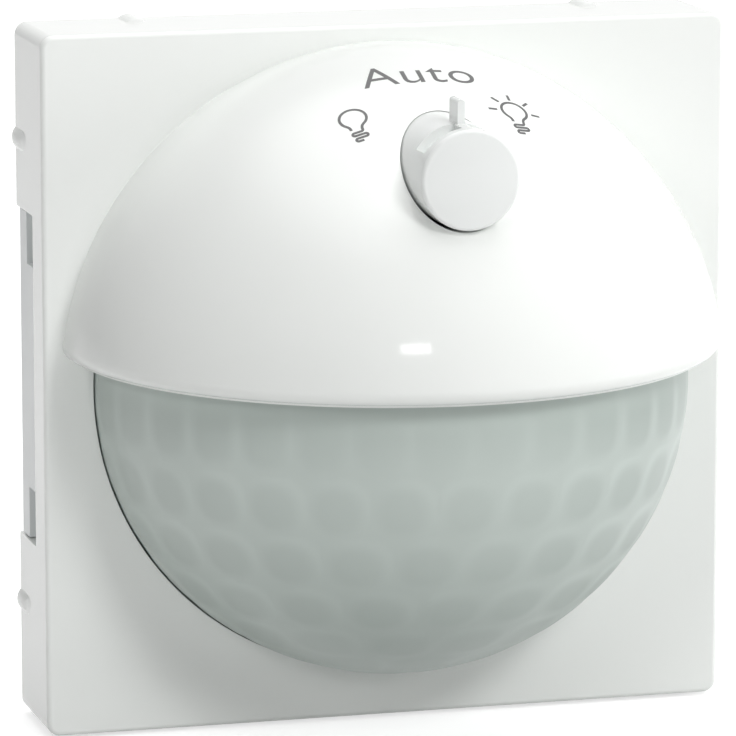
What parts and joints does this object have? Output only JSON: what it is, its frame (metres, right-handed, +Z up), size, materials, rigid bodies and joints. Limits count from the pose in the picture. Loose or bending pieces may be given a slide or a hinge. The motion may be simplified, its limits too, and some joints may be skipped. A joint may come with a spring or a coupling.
{
  "type": "motion sensor light switch",
  "caption": "Square wall cover with a hooded dome lens over infrared sensors and a rotary off, automatic and on knob, made to plug onto a flush wall insert.",
  "frame": {"origin": "middle of the square of the cover's rear rim, in the plane of that rim, where the part meets the wall insert", "axes": "+X to the right as seen from the front, +Y into the wall, +Z up"},
  "size_m": [0.0708, 0.0455, 0.0708],
  "materials": {
    "cover_white": "moulded, glossy",
    "knob_white": "moulded, glossy",
    "lens_frosted": "frosted, translucent",
    "frame_grey": "moulded",
    "tray_plastic": "moulded, satin",
    "board_green": "solder mask",
    "black_plastic": "moulded",
    "ivory_plastic": "moulded",
    "trimmer_blue": "moulded",
    "contact_metal": "plated",
    "steel": "zinc plated",
    "can_metal": "nickel plated",
    "capacitor_metal": "satin",
    "led_red": "clear tinted",
    "filter_dark": "polished"
  },
  "bodies": {
    "housing": {"cover_shell": "cover_white", "lens": "lens_frosted", "lens_retainer": "frame_grey", "retainer_screws": "steel", "switch_body": "black_plastic", "switch_pins": "contact_metal", "main_board": "board_green", "sensor_holder": "black_plastic", "pir_can_left": "can_metal", "pir_can_right": "can_metal", "pir_window_left": "filter_dark", "pir_window_right": "filter_dark", "pir_leads": "contact_metal", "status_led": "led_red", "light_sensor": "black_plastic", "controller_chip": "black_plastic", "clock_crystal": "can_metal", "supply_capacitors": "capacitor_metal", "voltage_regulator": "black_plastic", "chip_resistors": "black_plastic", "plug_header": "black_plastic", "plug_pins": "contact_metal", "lux_trimmer": "trimmer_blue", "time_trimmer": "trimmer_blue", "range_trimmer": "trimmer_blue", "rear_carrier": "tray_plastic", "board_screws": "steel"},
    "knob": {"mode_knob": "knob_white", "knob_clip": "steel", "switch_rotor": "ivory_plastic"},
    "lux_setting": {"lux_dial": "ivory_plastic"},
    "time_setting": {"time_dial": "ivory_plastic"},
    "range_setting": {"range_dial": "ivory_plastic"}
  },
  "joints": [
    {"name": "knob_turn", "type": "hinge", "parent": "housing", "child": "knob", "pos_m": [0, -0.0228, 0.0237], "axis": [0, -1, 0], "range_deg": [-60, 60]},
    {"name": "lux_turn", "type": "hinge", "parent": "housing", "child": "lux_setting", "pos_m": [-0.014, -0.004, -0.008], "axis": [0, 1, 0], "range_deg": [-135, 135]},
    {"name": "time_turn", "type": "hinge", "parent": "housing", "child": "time_setting", "pos_m": [0, -0.004, -0.008], "axis": [0, 1, 0], "range_deg": [-135, 135]},
    {"name": "range_turn", "type": "hinge", "parent": "housing", "child": "range_setting", "pos_m": [0.014, -0.004, -0.008], "axis": [0, 1, 0], "range_deg": [-135, 135]}
  ]
}
